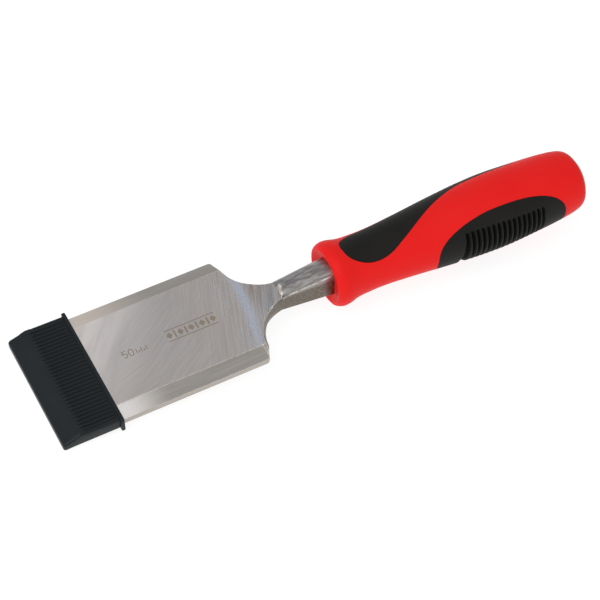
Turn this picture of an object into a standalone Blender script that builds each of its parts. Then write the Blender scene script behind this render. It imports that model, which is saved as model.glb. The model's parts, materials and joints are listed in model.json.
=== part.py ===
"""Bevel-edge chisel, 50 mm, with a two-material handle, a steel strike cap and a slip-on blade guard.

Tool frame, in millimetres: X = 0 at the cutting edge and runs to the butt, Y = 0 is the middle of
the blade, Z = 0 is the flat back of the blade.  Every piece hangs from one empty, "tool_axis",
which tilts the tool until it lies on the table on its guard and on the front lip of its handle.
"""
import math

import bmesh
import bpy
from mathutils import Vector

MM = 0.001
GAP = 0.3

# Blade
BLADE_HALF = 25.0
BLADE_T = 3.9
EDGE_T = 0.15
SIDE_T = 2.46
BEVEL_W = 5.94
GRIND_LEN = 8.2
SHOULDER_X = 79.7
SHOULDER_R = 1.8
ARC_X = 97.4
ARC_Y = 20.5
ARC_R = 16.0
SWEEP_X = 79.2
CREASE_X = 94.2
AXIS_Z = 1.49
DROOP = math.tan(math.radians(0.44))
CREASE_R = 5.38
BOLSTER_X = 116.2
BOLSTER_R = 7.34
BOLSTER_HALF = 5.05
SOCKET_X = 118.6
TANG_R = 3.6
TANG_TIP_R = 2.4
TANG_END_X = 185.0

# Handle: rounded front lip, then (x, radius) pairs of the outside, then the rounded butt
LIP = (
    (115.8, 7.0), (115.5, 7.8), (115.1, 8.9), (114.75, 9.9), (114.6, 10.7),
    (114.85, 11.65), (115.9, 12.4), (117.6, 12.85),
)
HANDLE = (
    (117.6, 12.85), (119.0, 12.8), (120.8, 12.45), (122.8, 11.9), (125.5, 11.55), (129.0, 11.4),
    (133.2, 11.33), (138.2, 11.5), (143.2, 11.85), (148.2, 12.25), (153.7, 12.75), (159.0, 13.25),
    (164.2, 13.7), (169.2, 14.1), (175.0, 14.5), (181.0, 14.75), (186.2, 14.85), (191.2, 14.75),
    (197.2, 14.45), (202.2, 14.15), (207.7, 13.8), (213.0, 13.35), (217.4, 12.8),
)
BUTT = ((220.2, 12.2), (222.1, 11.4), (223.1, 10.4), (223.4, 9.5))
HANDLE_SEGMENTS = 64

# Strike cap
CAP_R = 8.7
CAP_X0 = 219.6
CAP_X1 = 224.8
CAP_FLAT_R = 6.2

# Soft grips: outline angles in degrees, 0 at the near side, 90 on top, 180 at the far side
GRIP_DEPTH = 2.3
SWEEP_UPPER = (
    (121.2, 92.0), (121.7, 78.0), (123.7, 64.0), (128.1, 50.0), (133.3, 45.0), (138.7, 50.0),
    (144.5, 64.0), (151.4, 81.0), (158.1, 97.0), (165.3, 111.0), (171.5, 120.0), (177.0, 125.0),
    (183.0, 126.5), (191.4, 128.0), (198.0, 131.0), (204.2, 139.0), (208.8, 151.0),
    (211.5, 168.0), (213.2, 188.0),
)
SWEEP_LOWER = (
    (121.2, 93.0), (121.7, 104.0), (123.7, 115.0), (128.1, 128.0), (133.3, 134.0), (139.2, 138.0),
    (145.2, 143.0), (150.2, 150.0), (154.2, 164.0), (157.2, 192.0), (160.2, 221.0),
    (165.2, 239.0), (171.2, 249.0), (181.2, 254.0), (191.2, 252.0), (198.2, 249.0),
    (204.2, 240.0), (208.8, 226.0), (211.5, 208.0), (213.2, 190.0),
)
NEAR_X0 = 156.2
NEAR_X1 = 212.4
NEAR_WIDE_X = 180.2
NEAR_MID = -10.0
NEAR_SPAN = 65.3
NEAR_FRONT = (1.57, 3.32)
NEAR_BACK = (2.8, 2.7)
RIB_X0 = 168.0
RIB_PITCH = 2.2
RIB_COUNT = 16
RIB_T = 0.8
RIB_DEPTH = 1.2
RIB_UP = 40.0
GRIP_COLUMNS = 12

# Blade guard
MOUTH_X = 21.0
FLANGE_T = 1.4
CREST_X = 4.8
GUARD_X0 = -2.0
GUARD_HALF = 25.95
GUARD_CORNER = 1.2
GUARD_LOW = -0.8
GUARD_TOP_MOUTH = 4.75
GUARD_TOP_CREST = 5.2
GUARD_TOP_FRONT = 2.5
FLANGE_HALF = 27.0
FLANGE_LOW = -1.6
FLANGE_TOP = 5.1
CAVITY_HALF = 25.3
CAVITY_LOW = -0.2
CAVITY_TOP = 4.15
CAVITY_X0 = -0.5
CAVITY_FRONT_TOP = 1.3
GUARD_RIBS = 30
GUARD_RIB_H = 0.3


def clear_scene():
    for thing in list(bpy.data.objects):
        bpy.data.objects.remove(thing, do_unlink=True)


def material(name, color, roughness, metallic):
    made = bpy.data.materials.new(name)
    made.use_nodes = True
    shader = made.node_tree.nodes["Principled BSDF"]
    shader.inputs["Base Color"].default_value = (*color, 1.0)
    shader.inputs["Roughness"].default_value = roughness
    shader.inputs["Metallic"].default_value = metallic
    return made


def smooth(pairs, x):
    """Value at x of a smooth curve through the (x, value) pairs."""
    if x <= pairs[0][0]:
        return pairs[0][1]
    if x >= pairs[-1][0]:
        return pairs[-1][1]
    i = max(k for k in range(len(pairs) - 1) if pairs[k][0] <= x)

    def slope(k):
        a = pairs[max(k - 1, 0)]
        b = pairs[min(k + 1, len(pairs) - 1)]
        return (b[1] - a[1]) / (b[0] - a[0])

    x0, v0 = pairs[i]
    x1, v1 = pairs[i + 1]
    w = x1 - x0
    t = (x - x0) / w
    a = (1.0 + 2.0 * t) * (1.0 - t) ** 2 * v0
    b = t * (1.0 - t) ** 2 * w * slope(i)
    c = t * t * (3.0 - 2.0 * t) * v1
    d = t * t * (t - 1.0) * w * slope(i + 1)
    return a + b + c + d


def loft(name, rings, look, origin=(0.0, 0.0, 0.0), sharp=35.0):
    """Closed body through rings of equal length, capped at both ends; points in tool millimetres."""
    mesh = bpy.data.meshes.new(name)
    bm = bmesh.new()
    base = Vector(origin)
    loops = [[bm.verts.new((Vector(p) - base) * MM) for p in ring] for ring in rings]
    for one, two in zip(loops, loops[1:]):
        count = len(one)
        for i in range(count):
            j = (i + 1) % count
            bm.faces.new((one[i], one[j], two[j], two[i]))
    bm.faces.new(loops[0][::-1])
    bm.faces.new(loops[-1])
    bmesh.ops.recalc_face_normals(bm, faces=bm.faces)
    bm.to_mesh(mesh)
    bm.free()
    made = bpy.data.objects.new(name, mesh)
    bpy.context.collection.objects.link(made)
    made.location = base * MM
    mesh.materials.append(look)
    mesh.shade_smooth()
    mesh.set_sharp_from_angle(angle=math.radians(sharp))
    return made


def axis_z(x):
    """Height of the handle's axis, which drops a little towards the butt."""
    return AXIS_Z - DROOP * max(x - BOLSTER_X, 0.0)


def circle(x, radius, segments):
    turn = 2.0 * math.pi / segments
    ring = []
    for i in range(segments):
        ring.append((x, radius * math.cos(i * turn), axis_z(x) + radius * math.sin(i * turn)))
    return ring


def cut(target, cutter):
    """Take the cutter out of the target and delete the cutter."""
    step = target.modifiers.new("cut", "BOOLEAN")
    step.operation = "DIFFERENCE"
    step.solver = "EXACT"
    step.object = cutter
    bpy.context.view_layer.update()
    graph = bpy.context.evaluated_depsgraph_get()
    result = bpy.data.meshes.new_from_object(target.evaluated_get(graph))
    old = target.data
    target.modifiers.clear()
    target.data = result
    bpy.data.meshes.remove(old)
    bpy.data.objects.remove(cutter, do_unlink=True)


# ------------------------------------------------------------------ blade

def half_width(x):
    """Half width of the forging at x: parallel blade, shoulder, concave arc, then the bolster."""
    start = SHOULDER_X - SHOULDER_R
    if x <= start:
        return BLADE_HALF
    if x < SHOULDER_X:
        return BLADE_HALF - SHOULDER_R + math.sqrt(max(SHOULDER_R ** 2 - (x - start) ** 2, 0.0))
    if x <= ARC_X:
        reach = min(ARC_X - x, ARC_R)
        return ARC_Y - math.sqrt(ARC_R ** 2 - reach ** 2)
    waist = ARC_Y - ARC_R
    return waist + (BOLSTER_HALF - waist) * (x - ARC_X) / (BOLSTER_X - ARC_X)


def cone_rise(x, y):
    """Height of the round bolster above its axis at (x, y)."""
    at = max(x, CREASE_X)
    radius = CREASE_R + (BOLSTER_R - CREASE_R) * (at - CREASE_X) / (BOLSTER_X - CREASE_X)
    ridge = min(abs(y), 0.86 * radius)
    rise = math.sqrt(radius ** 2 - ridge ** 2)
    return rise - 0.9 * (abs(y) - ridge)


def top_z(x, y):
    flat = BLADE_T
    inner = BLADE_HALF - BEVEL_W
    if abs(y) > inner:
        flat = BLADE_T - (BLADE_T - SIDE_T) * (abs(y) - inner) / BEVEL_W
    grind = EDGE_T + x * (BLADE_T - EDGE_T) / GRIND_LEN
    if x < GRIND_LEN:
        return min(flat, grind)
    blend = min(max((x - SWEEP_X) / (CREASE_X - SWEEP_X), 0.0), 1.0) ** 2
    lift = AXIS_Z + cone_rise(x, y) - flat
    if x < CREASE_X:
        lift = max(lift, 0.0)
    return flat + blend * lift


def low_z(x, y):
    blend = min(max((x - SWEEP_X) / (CREASE_X - SWEEP_X), 0.0), 1.0) ** 2
    drop = AXIS_Z - cone_rise(x, y)
    if x < CREASE_X:
        drop = min(drop, 0.0)
    return blend * drop


def forging_ring(x, half=None, grow=0.0):
    """One cross-section of the forging: back, far side, far bevel, top, near bevel, near side."""
    if half is None:
        half = half_width(x)
    inner = min(BLADE_HALF - BEVEL_W, 0.93 * half)
    steps = 10
    ring = []
    for i in range(steps + 1):
        y = half * (2.0 * i / steps - 1.0)
        ring.append((x, y * (half + grow) / half, low_z(x, y) - grow))
    over = [half]
    for i in range(steps + 1):
        over.append(inner * (1.0 - 2.0 * i / steps))
    over.append(-half)
    for y in over:
        ring.append((x, y * (half + grow) / half, top_z(x, y) + grow))
    return ring


def tang_ring(x, radius):
    ring = []
    for p in forging_ring(SOCKET_X):
        turn = math.atan2(p[2] - AXIS_Z, p[1])
        ring.append((x, radius * math.cos(turn), axis_z(x) + radius * math.sin(turn)))
    return ring


def build_blade(look):
    rings = [forging_ring(x) for x in (0.0, GRIND_LEN * 0.63, GRIND_LEN, 40.0, 70.0)]
    corner = SHOULDER_X - SHOULDER_R
    for k in range(5):
        rings.append(forging_ring(corner + SHOULDER_R * math.sin(k * math.pi / 10.0)))
    rings.append(forging_ring(SHOULDER_X, BLADE_HALF - SHOULDER_R))
    rings.append(forging_ring(SHOULDER_X + 0.05, 21.2))
    for degrees in (6, 12, 18, 25, 32, 40, 48, 56, 64, 72, 80):
        rings.append(forging_ring(ARC_X - ARC_R * math.cos(math.radians(degrees))))
    for x in (96.0, 99.0, 103.0, 108.0, 112.5, BOLSTER_X, SOCKET_X):
        rings.append(forging_ring(x))
    rings.append(tang_ring(SOCKET_X + 0.3, TANG_R))
    rings.append(tang_ring(TANG_END_X - 1.0, TANG_TIP_R))
    rings.append(tang_ring(TANG_END_X, TANG_TIP_R - 0.8))
    return loft("blade", rings, look, sharp=12.0)


def tang_cutter(look):
    rings = [forging_ring(x, grow=GAP) for x in (108.0, 112.5, BOLSTER_X, SOCKET_X + GAP)]
    rings.append(tang_ring(SOCKET_X + 0.4 + GAP, TANG_R + GAP))
    rings.append(tang_ring(TANG_END_X - 1.0, TANG_TIP_R + GAP))
    rings.append(tang_ring(TANG_END_X + GAP, TANG_TIP_R - 0.5))
    return loft("tang_cutter", rings, look)


# ------------------------------------------------------------------ soft grips

def near_limits(x):
    """Upper and lower outline angle of the near grip at x; its widest place is nearer the front."""
    if x < NEAR_WIDE_X:
        away = (NEAR_WIDE_X - x) / (NEAR_WIDE_X - NEAR_X0)
        shape = NEAR_FRONT
    else:
        away = (x - NEAR_WIDE_X) / (NEAR_X1 - NEAR_WIDE_X)
        shape = NEAR_BACK
    span = NEAR_SPAN * (1.0 - min(away, 1.0) ** shape[0]) ** (1.0 / shape[1])
    return NEAR_MID + span, NEAR_MID - span


def sweep_limits(x):
    """The two outline angles of the grip that starts on top and runs over to the far side."""
    return smooth(SWEEP_LOWER, x), smooth(SWEEP_UPPER, x)


def grip_stations(x0, x1, ribs):
    """X stations, close together at both ends; each rib groove adds four of its own."""
    span = x1 - x0
    places = set()
    count = 22 if span > 70.0 else 14
    last = RIB_X0 + RIB_COUNT * RIB_PITCH
    for i in range(count + 1):
        x = x0 + span * 0.5 * (1.0 - math.cos(math.pi * i / count))
        crowded = span > 70.0 and 146.0 < x < RIB_X0
        if (x < RIB_X0 - 0.9 or x > last + 0.9) and not crowded:
            places.add(round(x, 3))
    steep = 147.0
    while span > 70.0 and steep < RIB_X0 - 0.9:
        places.add(steep)
        steep += 1.0
    for k in range(RIB_COUNT + 1):
        a = RIB_X0 + k * RIB_PITCH
        if not ribs:
            if k % 2 == 0:
                places.add(round(a, 3))
            continue
        places.add(round(a, 3))
        if k < RIB_COUNT:
            for x in (a + 0.2, a + RIB_PITCH - RIB_T - 0.2, a + RIB_PITCH - RIB_T):
                places.add(round(x, 3))
    return sorted(places)


def groove(x):
    """Depth of the rib grooves at x: full in the middle of each groove, none on the ribs."""
    place = (x - RIB_X0) / RIB_PITCH
    if place < 0.0 or place > RIB_COUNT - RIB_T / RIB_PITCH + 0.001:
        return 0.0
    along = (place - math.floor(place)) * RIB_PITCH
    wide = RIB_PITCH - RIB_T
    if along < 0.1 or along > wide - 0.1:
        return 0.0
    return RIB_DEPTH


def grip_ring(x, limits, middle, ribs):
    """Closed strip section: outer face from low to high angle, then the inner face back."""
    high, low = limits
    outer = smooth(HANDLE, x)
    inner = outer - GRIP_DEPTH
    inset = min(4.0, 0.2 * (high - low))
    up = min(middle + RIB_UP, high - inset)
    down = max(middle - RIB_UP, low + inset)
    if up - down < inset:
        up = high - inset
        down = low + inset
    angles = [low, down - 0.3 * inset]
    for i in range(GRIP_COLUMNS - 3):
        angles.append(down + (up - down) * i / (GRIP_COLUMNS - 4))
    angles.append(up + 0.3 * inset)
    angles.append(high)
    depth = groove(x) if ribs else 0.0
    ring = []
    for k, angle in enumerate(angles):
        cutin = depth if 2 <= k <= len(angles) - 3 else 0.0
        a = math.radians(angle)
        radius = outer - cutin
        ring.append((x, -radius * math.cos(a), axis_z(x) + radius * math.sin(a)))
    for k in range(8):
        a = math.radians(high + (low - high) * k / 7.0)
        ring.append((x, -inner * math.cos(a), axis_z(x) + inner * math.sin(a)))
    return ring


def grip_cutter_ring(x, at, limits):
    """The same strip grown by the gap on every side and standing out past the handle."""
    high, low = limits
    outer = smooth(HANDLE, at)
    grow = math.degrees(GAP / outer)
    inner = outer - GRIP_DEPTH - GAP
    ring = []
    for k in range(GRIP_COLUMNS + 1):
        a = math.radians(low - grow + (high - low + 2.0 * grow) * k / GRIP_COLUMNS)
        ring.append((x, -(outer + 2.0) * math.cos(a), axis_z(x) + (outer + 2.0) * math.sin(a)))
    for k in range(GRIP_COLUMNS + 1):
        a = math.radians(high + grow - (high - low + 2.0 * grow) * k / GRIP_COLUMNS)
        ring.append((x, -inner * math.cos(a), axis_z(x) + inner * math.sin(a)))
    return ring


def build_grip(name, x0, x1, limits, middle, look):
    stations = grip_stations(x0, x1, True)
    rings = [grip_ring(x, limits(x), middle, True) for x in stations]
    return loft(name, rings, look)


def grip_cutter(name, x0, x1, limits, look):
    stations = grip_stations(x0, x1, False)
    rings = [grip_cutter_ring(x0 - GAP, x0, limits(x0))]
    for x in stations[1:-1]:
        rings.append(grip_cutter_ring(x, x, limits(x)))
    rings.append(grip_cutter_ring(x1 + GAP, x1, limits(x1)))
    return loft(name, rings, look)


# ------------------------------------------------------------------ handle and cap

def build_handle(look):
    profile = list(LIP)
    profile.extend(HANDLE[1:])
    profile.extend(BUTT)
    rings = [circle(x, radius, HANDLE_SEGMENTS) for x, radius in profile]
    handle = loft("handle_body", rings, look)
    cut(handle, tang_cutter(look))
    cap_hole = [circle(x, CAP_R + GAP, 48) for x in (CAP_X0 - GAP, CAP_X1 + 3.0)]
    cut(handle, loft("cap_cutter", cap_hole, look))
    cut(handle, grip_cutter("near_cutter", NEAR_X0, NEAR_X1, near_limits, look))
    ends = (SWEEP_UPPER[0][0], SWEEP_UPPER[-1][0])
    cut(handle, grip_cutter("sweep_cutter", ends[0], ends[1], sweep_limits, look))
    handle.data.shade_smooth()
    handle.data.set_sharp_from_angle(angle=math.radians(35.0))
    return handle


def build_cap(look):
    rise = CAP_X1 - 0.9
    profile = [(CAP_X0, CAP_R - 0.6), (CAP_X0 + 0.6, CAP_R), (rise, CAP_R)]
    for k in range(1, 5):
        a = math.radians(22.5 * k)
        profile.append((rise + 0.9 * math.sin(a), CAP_FLAT_R + (CAP_R - CAP_FLAT_R) * math.cos(a)))
    rings = [circle(x, radius, 48) for x, radius in profile]
    return loft("strike_cap", rings, look)


# ------------------------------------------------------------------ blade guard

def guard_ring(x, half, low, high, corner, rib):
    """Rounded rectangle; its upper side carries the lengthwise ribs when rib is above zero."""
    ring = []
    flat = half - corner
    for i in range(7):
        ring.append((x, -flat + 2.0 * flat * i / 6.0, low))
    for centre_y, centre_z, start in ((flat, low + corner, 270.0), (flat, high - corner, 0.0)):
        for i in range(1, 5):
            a = math.radians(start + 22.5 * i)
            ring.append((x, centre_y + corner * math.cos(a), centre_z + corner * math.sin(a)))
    pitch = 2.0 * flat / GUARD_RIBS
    for i in range(GUARD_RIBS):
        left = flat - i * pitch
        for share, up in ((0.3, 0.0), (0.42, rib), (0.78, rib), (0.9, 0.0)):
            ring.append((x, left - share * pitch, high + up))
    for centre_z, start in ((high - corner, 90.0), (low + corner, 180.0)):
        for i in range(1, 5):
            a = math.radians(start + 22.5 * i)
            if centre_z == low + corner and i == 4:
                continue
            ring.append((x, -flat + corner * math.cos(a), centre_z + corner * math.sin(a)))
    return ring


def build_guard(look):
    top = GUARD_TOP_MOUTH
    back = MOUTH_X - FLANGE_T
    low = GUARD_LOW
    half = GUARD_HALF
    rings = [
        guard_ring(GUARD_X0, half - 0.7, low + 0.5, GUARD_TOP_FRONT - 0.4, 0.6, 0.0),
        guard_ring(GUARD_X0 + 0.3, half - 0.25, low + 0.12, GUARD_TOP_FRONT, 0.9, 0.0),
        guard_ring(GUARD_X0 + 1.0, half, low, GUARD_TOP_FRONT + 0.35, 1.0, 0.0),
        guard_ring(CREST_X - 0.3, half, low, GUARD_TOP_CREST - 0.1, GUARD_CORNER, 0.0),
        guard_ring(CREST_X + 0.4, half, low, GUARD_TOP_CREST, GUARD_CORNER, 0.0),
        guard_ring(CREST_X + 0.9, half, low, GUARD_TOP_CREST, GUARD_CORNER, GUARD_RIB_H),
        guard_ring(back - 0.5, half, low, top, GUARD_CORNER, GUARD_RIB_H),
        guard_ring(back - 0.2, half, low, top, GUARD_CORNER, 0.0),
        guard_ring(back, FLANGE_HALF, FLANGE_LOW, FLANGE_TOP, 0.9, 0.0),
        guard_ring(MOUTH_X, FLANGE_HALF, FLANGE_LOW, FLANGE_TOP, 0.9, 0.0),
        guard_ring(MOUTH_X, CAVITY_HALF, CAVITY_LOW, CAVITY_TOP, 0.5, 0.0),
        guard_ring(CREST_X + 1.0, CAVITY_HALF, CAVITY_LOW, CAVITY_TOP, 0.5, 0.0),
        guard_ring(CAVITY_X0, CAVITY_HALF, CAVITY_LOW, CAVITY_FRONT_TOP, 0.4, 0.0),
    ]
    centre = (0.0, 0.0, 0.5 * (CAVITY_LOW + CAVITY_TOP))
    return loft("blade_guard", rings, look, origin=centre)


# ------------------------------------------------------------------ assembly

def lay_down(pieces):
    """Tilt the tool onto the guard's front edge and the handle's belly, origin under its middle."""
    heel = (GUARD_X0 + 1.0, GUARD_LOW)
    tilt = 0.0
    for piece in pieces:
        for vertex in piece.data.vertices:
            x = vertex.co.x / MM + piece.location.x / MM
            z = vertex.co.z / MM + piece.location.z / MM
            if x > 100.0:
                tilt = max(tilt, math.atan2(heel[1] - z, x - heel[0]))
    root = bpy.data.objects.new("tool_axis", None)
    bpy.context.collection.objects.link(root)
    root.rotation_euler = (0.0, -tilt, 0.0)
    for piece in pieces:
        piece.parent = root
    bpy.context.view_layer.update()
    points = []
    for piece in pieces:
        points.extend(piece.matrix_world @ vertex.co for vertex in piece.data.vertices)
    for axis in range(2):
        middle = 0.5 * (min(p[axis] for p in points) + max(p[axis] for p in points))
        root.location[axis] = -middle
    root.location[2] = -min(p[2] for p in points)
    bpy.context.view_layer.update()


def main():
    clear_scene()
    steel = material("ground_steel", (0.52, 0.50, 0.48), 0.32, 1.0)
    red = material("red_plastic", (0.80, 0.014, 0.012), 0.38, 0.0)
    soft = material("black_soft_grip", (0.020, 0.020, 0.019), 0.62, 0.0)
    cover = material("guard_plastic", (0.018, 0.023, 0.027), 0.5, 0.0)
    plated = material("cap_steel", (0.60, 0.58, 0.52), 0.35, 1.0)
    grip_far = material("black_soft_sweep_grip", (0.020, 0.020, 0.019), 0.62, 0.0)
    pieces = [build_blade(steel), build_handle(red)]
    pieces.append(build_grip("grip_near", NEAR_X0, NEAR_X1, near_limits, NEAR_MID, soft))
    ends = (SWEEP_UPPER[0][0], SWEEP_UPPER[-1][0])
    middle = 180.0 - NEAR_MID
    pieces.append(build_grip("grip_sweep", ends[0], ends[1], sweep_limits, middle, grip_far))
    pieces.append(build_cap(plated))
    pieces.append(build_guard(cover))
    lay_down(pieces)


main()
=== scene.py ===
"""Looks of the 50 mm bevel-edge chisel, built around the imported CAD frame.

Lengths in the piece code are millimetres in the tool frame: X = 0 at the cutting edge and runs to
the butt, Y = 0 is the middle of the blade, Z = 0 is the flat back of the blade.  Each piece's mesh
is built in tool metres, and is then turned and shifted to where the tool lies on the table.
"""
import json
import math

import bmesh
import bpy
from mathutils import Matrix, Vector


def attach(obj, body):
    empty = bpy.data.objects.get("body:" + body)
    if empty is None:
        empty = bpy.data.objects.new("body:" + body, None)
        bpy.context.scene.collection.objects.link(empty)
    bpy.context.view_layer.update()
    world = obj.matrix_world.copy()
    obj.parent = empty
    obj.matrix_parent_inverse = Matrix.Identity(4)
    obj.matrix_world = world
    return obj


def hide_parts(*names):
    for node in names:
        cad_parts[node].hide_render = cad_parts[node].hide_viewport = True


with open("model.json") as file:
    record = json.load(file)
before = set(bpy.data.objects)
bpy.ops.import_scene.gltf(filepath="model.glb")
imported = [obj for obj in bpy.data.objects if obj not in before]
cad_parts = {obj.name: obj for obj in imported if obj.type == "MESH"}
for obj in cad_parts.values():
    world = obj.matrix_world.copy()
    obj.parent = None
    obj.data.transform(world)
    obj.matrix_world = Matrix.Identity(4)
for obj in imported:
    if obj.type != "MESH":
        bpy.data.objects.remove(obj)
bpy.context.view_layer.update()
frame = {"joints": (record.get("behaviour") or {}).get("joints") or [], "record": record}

MM = 0.001

# ---- dimensions shared with the CAD, in millimetres
BLADE_HALF = 25.0
BLADE_T = 3.9
EDGE_T = 0.15
SIDE_T = 2.46
BEVEL_W = 5.94
BEVEL_Y = BLADE_HALF - BEVEL_W
GRIND_LEN = 8.2
# the shoulder in plan: corner start x, corner end x and y, arc start x, arc centre x and y, radius
PLAN_EDGE = (77.6, 78.95, 24.3, 80.54, 97.2, 21.4, 17.0)
PLAN_WAIST = (77.9, 79.25, 24.1, 81.47, 97.4, 20.5, 16.0)
NECK_HALF = 4.82
# the neck's section is round over this share of its radius, then falls straight
NECK_ROUND = 0.86
NECK_FALL = 0.9
SWEEP_X = 78.8
# the sweep starts sooner on the near side, by these amounts up to SKEW_X0 and none past SKEW_X1
SWEEP_LEAN = 0.13
SWEEP_BOW = 0.004
SKEW_X0 = 85.0
SKEW_X1 = 92.0
RAMP_X = 84.3
RAMP_SLOPE = 0.115
CREASE_X = 94.5
STEP_SLOPE = 1.1
AXIS_Z = 1.49
DROOP = math.tan(math.radians(0.44))
CREASE_R = 5.38
BOLSTER_X = 116.2
BOLSTER_R = 7.34
BOLSTER_HALF = 5.05
SOCKET_X = 118.6
# the blade's side band, its height on the blade and where it has moved to the neck's axis
BAND_Z = 1.2
BAND_HALF = 0.3
BAND_X = 86.0
# share of the half width that the forging's upper face keeps before its edge strip
TOP_SHARE = 0.97
FORGING_STEPS = 36

LIP = (
    (115.85, 6.8), (115.7, 7.3), (115.5, 7.9), (115.27, 8.6), (115.02, 9.3), (114.78, 10.0),
    (114.62, 10.6), (114.65, 11.2), (114.95, 11.75), (115.55, 12.2), (116.45, 12.58),
    (117.6, 12.85),
)
HANDLE = (
    (117.6, 12.85), (119.0, 12.8), (120.8, 12.45), (122.8, 11.9), (125.5, 11.55), (129.0, 11.4),
    (133.2, 11.33), (138.2, 11.5), (143.2, 11.85), (148.2, 12.25), (153.7, 12.75), (159.0, 13.25),
    (164.2, 13.7), (169.2, 14.1), (175.0, 14.5), (181.0, 14.75), (186.2, 14.85), (191.2, 14.75),
    (197.2, 14.45), (202.2, 14.15), (207.7, 13.8), (213.0, 13.35), (217.4, 12.8),
)
BUTT = ((220.2, 12.2), (222.1, 11.4), (223.1, 10.4), (223.4, 9.5))
HANDLE_SEGMENTS = 144
HANDLE_STEP = 1.1

CAP_R = 8.7
CAP_X0 = 219.6
CAP_X1 = 224.8
CAP_FLAT_R = 6.2
CAP_ROUND = 0.9
CAP_GAP = 0.15
CAP_SEGMENTS = 96
TANG_GAP = 0.12

GRIP_DEPTH = 2.3
GRIP_GAP = 0.1
GRIP_INSIDE = 0.15
CUTTER_OUT = 2.0
# outline angles in degrees: 0 at the near side, 90 on top, 180 at the far side
SWEEP_UPPER = (
    (121.2, 92.0), (121.7, 78.0), (123.7, 64.0), (128.1, 50.0), (133.3, 45.0), (138.7, 50.0),
    (144.5, 64.0), (151.4, 81.0), (158.1, 97.0), (165.3, 111.0), (171.5, 120.0), (177.0, 125.0),
    (183.0, 126.5), (191.4, 128.0), (198.0, 131.0), (204.2, 139.0), (208.8, 151.0),
    (211.5, 168.0), (213.2, 188.0),
)
SWEEP_LOWER = (
    (121.2, 93.0), (121.7, 104.0), (123.7, 115.0), (128.1, 128.0), (133.3, 134.0), (139.2, 138.0),
    (145.2, 143.0), (150.2, 150.0), (154.2, 164.0), (157.2, 192.0), (160.2, 221.0),
    (165.2, 239.0), (171.2, 249.0), (181.2, 254.0), (191.2, 252.0), (198.2, 249.0),
    (204.2, 240.0), (208.8, 226.0), (211.5, 208.0), (213.2, 190.0),
)
NEAR_X0 = 156.2
NEAR_X1 = 212.4
NEAR_WIDE_X = 180.2
NEAR_MID = -10.0
FAR_MID = 190.0
NEAR_SPAN = 65.3
NEAR_FRONT = (1.57, 3.32)
NEAR_BACK = (2.8, 2.7)
STEEP_X = 145.0
STEEP_STEP = 0.7
RIB_X0 = 168.0
RIB_PITCH = 2.2
RIB_COUNT = 16
RIB_T = 0.8
RIB_DEPTH = 1.5
RIB_UP = 41.0
RIB_LEAN = 8.0
RIB_DOWN = 48.0
RIB_RUN_IN = 2.4

MOUTH_X = 21.0
FLANGE_T = 1.4
CREST_X = 4.8
GUARD_X0 = -2.0
GUARD_HALF = 25.95
GUARD_CORNER = 1.2
GUARD_LOW = -0.8
GUARD_TOP_MOUTH = 4.75
GUARD_TOP_CREST = 5.2
GUARD_TOP_FRONT = 2.5
FLANGE_HALF = 27.0
FLANGE_LOW = -1.6
FLANGE_TOP = 5.1
CAVITY_HALF = 25.3
CAVITY_LOW = -0.2
CAVITY_TOP = 4.15
CAVITY_X0 = -0.5
CAVITY_FRONT_TOP = 1.3
GUARD_RIBS = 30
GUARD_RIB_H = 0.3
GUARD_RIB_CUT = 0.2
CREST_REACH = 2.4
CREST_STEPS = 12


def tool_to_table():
    """Turn and shift from the tool frame to the table, read from the guard's joint and the butt."""
    axis = -Vector(frame["joints"][0]["axis"]).normalized()
    side = Vector((0.0, 1.0, 0.0))
    up = axis.cross(side).normalized()
    turn = Matrix((axis, side, up)).transposed()
    face = [m for m in frame["record"]["mounts"] if m["name"] == "strike_face"][0]
    middle = Vector((CAP_X1, 0.0, AXIS_Z - DROOP * (CAP_X1 - BOLSTER_X))) * MM
    shift = Vector(face["pos_m"]) - turn @ middle
    return Matrix.Translation(shift) @ turn.to_4x4()


PLACE = tool_to_table()


def smooth(pairs, x):
    """Value at x of a smooth curve through the (x, value) pairs."""
    if x <= pairs[0][0]:
        return pairs[0][1]
    if x >= pairs[-1][0]:
        return pairs[-1][1]
    i = max(k for k in range(len(pairs) - 1) if pairs[k][0] <= x)

    def slope(k):
        a = pairs[max(k - 1, 0)]
        b = pairs[min(k + 1, len(pairs) - 1)]
        return (b[1] - a[1]) / (b[0] - a[0])

    x0, v0 = pairs[i]
    x1, v1 = pairs[i + 1]
    w = x1 - x0
    t = (x - x0) / w
    a = (1.0 + 2.0 * t) * (1.0 - t) ** 2 * v0
    b = t * (1.0 - t) ** 2 * w * slope(i)
    c = t * t * (3.0 - 2.0 * t) * v1
    d = t * t * (t - 1.0) * w * slope(i + 1)
    return a + b + c + d


def ease(low, high, value):
    """0 below low, 1 above high, smooth between; works with low above high too."""
    t = min(max((value - low) / (high - low), 0.0), 1.0)
    return t * t * (3.0 - 2.0 * t)


def axis_z(x):
    """Height of the handle's axis, which drops a little towards the butt."""
    return AXIS_Z - DROOP * max(x - BOLSTER_X, 0.0)


def add_object(name, mesh):
    made = bpy.data.objects.new(name, mesh)
    bpy.context.scene.collection.objects.link(made)
    return made


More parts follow.
